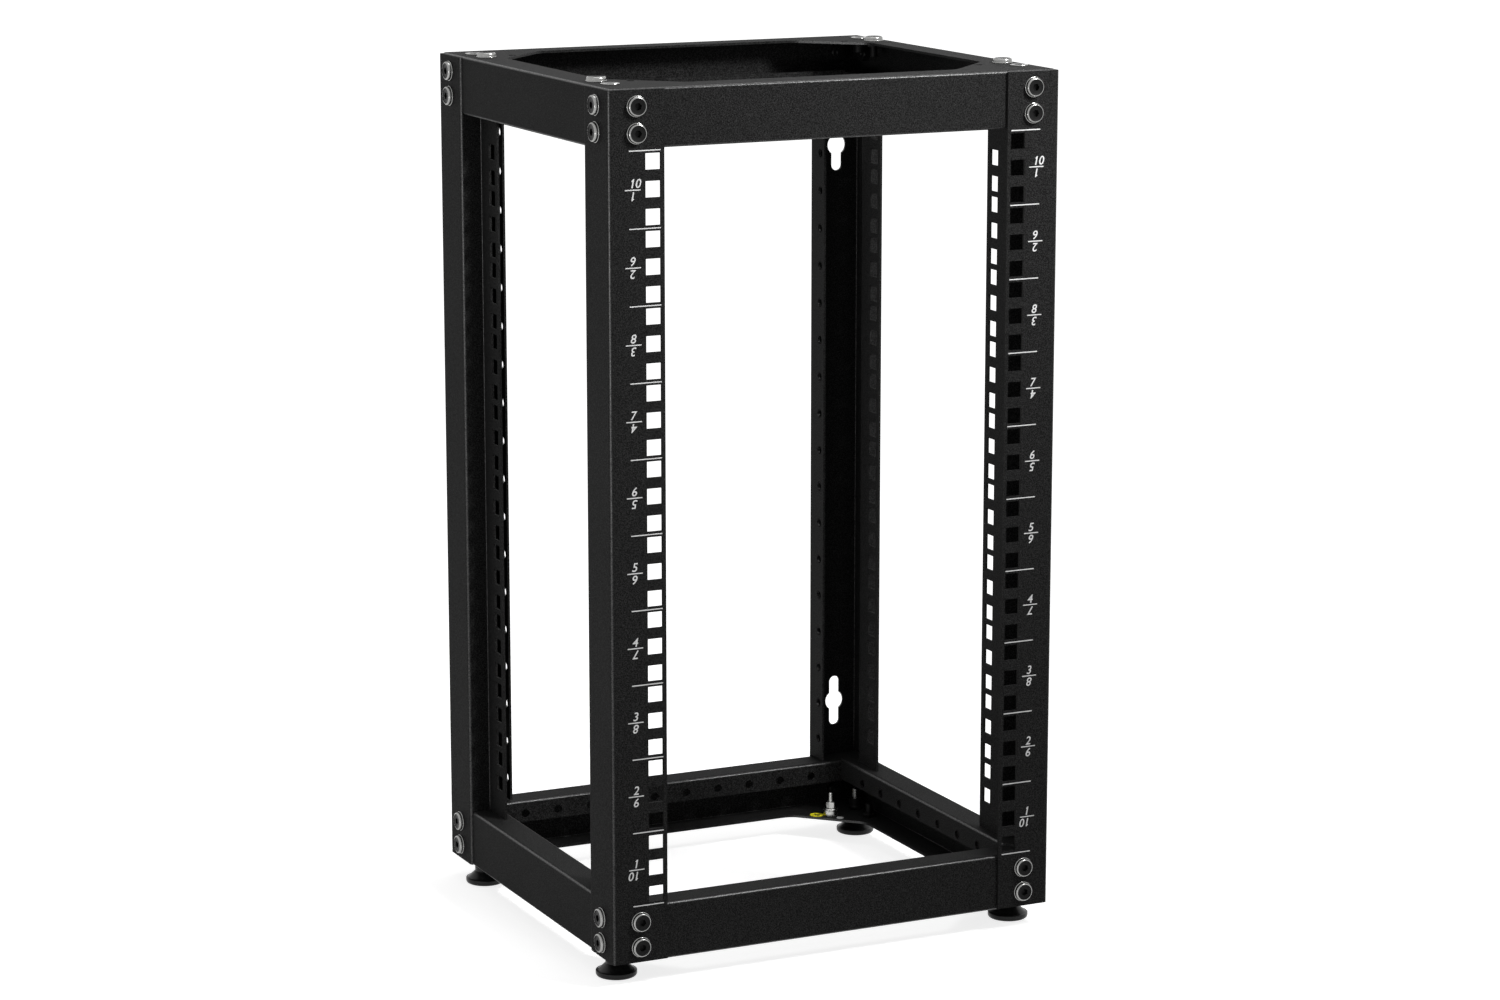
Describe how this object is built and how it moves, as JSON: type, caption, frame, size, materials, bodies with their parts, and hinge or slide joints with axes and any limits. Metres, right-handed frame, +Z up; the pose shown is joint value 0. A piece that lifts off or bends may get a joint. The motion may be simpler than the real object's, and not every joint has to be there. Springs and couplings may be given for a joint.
{
  "type": "open-frame rack",
  "caption": "Upright open-frame ten-inch rack of folded sheet steel: posts with square and round hole rows between two lipped frames, on levelling feet, with keyholes at the back.",
  "frame": {"origin": "on the floor, below the middle of the rack", "axes": "+X to the right seen from the front, +Y to the back, +Z up"},
  "size_m": [0.292, 0.2616, 0.5302],
  "materials": {
    "powder_coat": "fine-grained satin black powder coat",
    "bright_zinc": "bright zinc plate",
    "dark_steel": "dark plated thread",
    "foot_plastic": "matt black"
  },
  "bodies": {
    "root": {"front_left_post": "powder_coat", "front_right_post": "powder_coat", "back_left_post": "powder_coat", "back_right_post": "powder_coat", "bottom_front_rail": "powder_coat", "bottom_back_rail": "powder_coat", "bottom_left_rail": "powder_coat", "bottom_right_rail": "powder_coat", "top_front_rail": "powder_coat", "top_back_rail": "powder_coat", "top_left_rail": "powder_coat", "top_right_rail": "powder_coat", "top_front_left_insert": "bright_zinc", "bottom_front_left_insert": "bright_zinc", "top_front_right_insert": "bright_zinc", "bottom_front_right_insert": "bright_zinc", "top_back_left_insert": "bright_zinc", "bottom_back_left_insert": "bright_zinc", "top_back_right_insert": "bright_zinc", "bottom_back_right_insert": "bright_zinc", "front_left_foot": "foot_plastic", "front_right_foot": "foot_plastic", "back_left_foot": "foot_plastic", "back_right_foot": "foot_plastic", "front_left_foot_stud": "dark_steel", "front_right_foot_stud": "dark_steel", "back_left_foot_stud": "dark_steel", "back_right_foot_stud": "dark_steel", "earth_stud": "bright_zinc", "earth_nut": "bright_zinc"}
  },
  "joints": []
}
